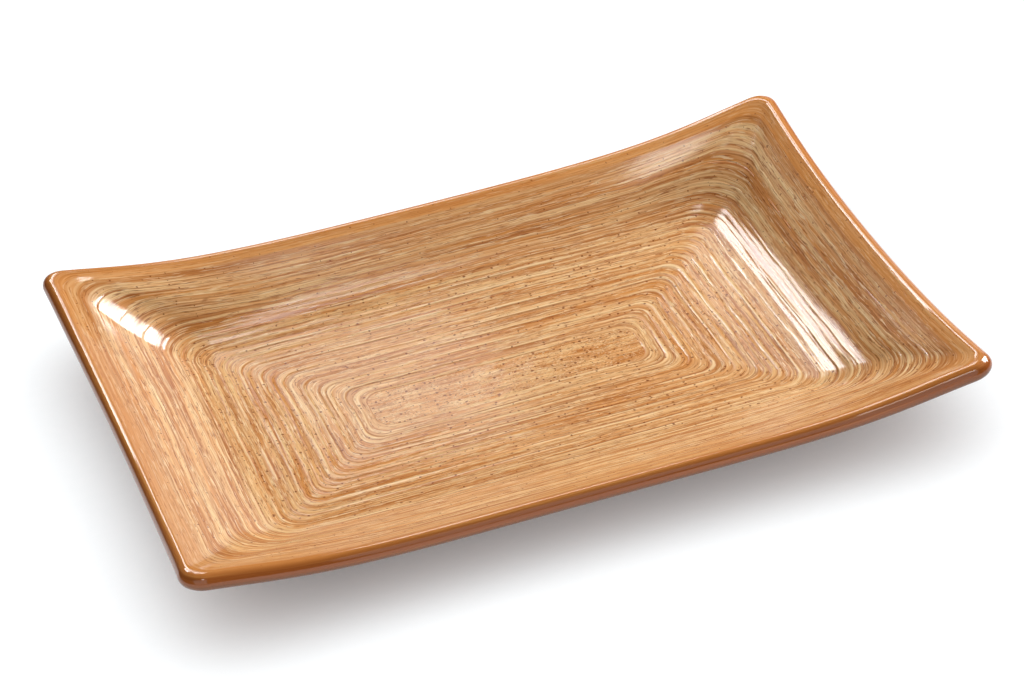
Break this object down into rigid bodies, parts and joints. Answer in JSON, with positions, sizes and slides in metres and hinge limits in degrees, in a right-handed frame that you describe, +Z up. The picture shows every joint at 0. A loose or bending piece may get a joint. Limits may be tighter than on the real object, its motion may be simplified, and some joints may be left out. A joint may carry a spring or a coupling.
{
  "type": "rectangular serving dish",
  "caption": "Rectangular glazed stoneware serving dish with raised corners, rounded lip and an inside brushed with concentric rectangular bands, standing on a foot ring.",
  "frame": {"origin": "on the table, under the middle of the foot ring", "axes": "+X along the dish's length, +Y across it, +Z up out of the well"},
  "size_m": [0.2796, 0.2026, 0.0347],
  "materials": {
    "stoneware_clay": "fired buff stoneware, covered by slip and glaze",
    "bare_foot_clay": "bare fired clay, ground flat where it rests",
    "speckled_slip": "tan slip with brown iron specks under glossy clear glaze",
    "brushed_slip": "tan slip brushed in light and dark streaks under glossy clear glaze",
    "amber_rim_glaze": "smooth glossy amber glaze, thin over the crest",
    "brown_outer_glaze": "glossy brown glaze with faint brush streaks"
  },
  "bodies": {
    "root": {"clay_body": "stoneware_clay", "foot_ring": "bare_foot_clay", "slip_panel": "speckled_slip", "slip_band_01": "brushed_slip", "slip_band_02": "brushed_slip", "slip_band_03": "brushed_slip", "slip_band_04": "brushed_slip", "slip_band_05": "brushed_slip", "slip_band_06": "brushed_slip", "slip_band_07": "brushed_slip", "slip_band_08": "brushed_slip", "slip_band_09": "brushed_slip", "slip_band_10": "brushed_slip", "slip_band_11": "brushed_slip", "slip_band_12": "brushed_slip", "slip_band_13": "brushed_slip", "slip_band_14": "brushed_slip", "rim_glaze": "amber_rim_glaze", "outer_glaze": "brown_outer_glaze", "base_glaze": "brown_outer_glaze"}
  },
  "joints": []
}
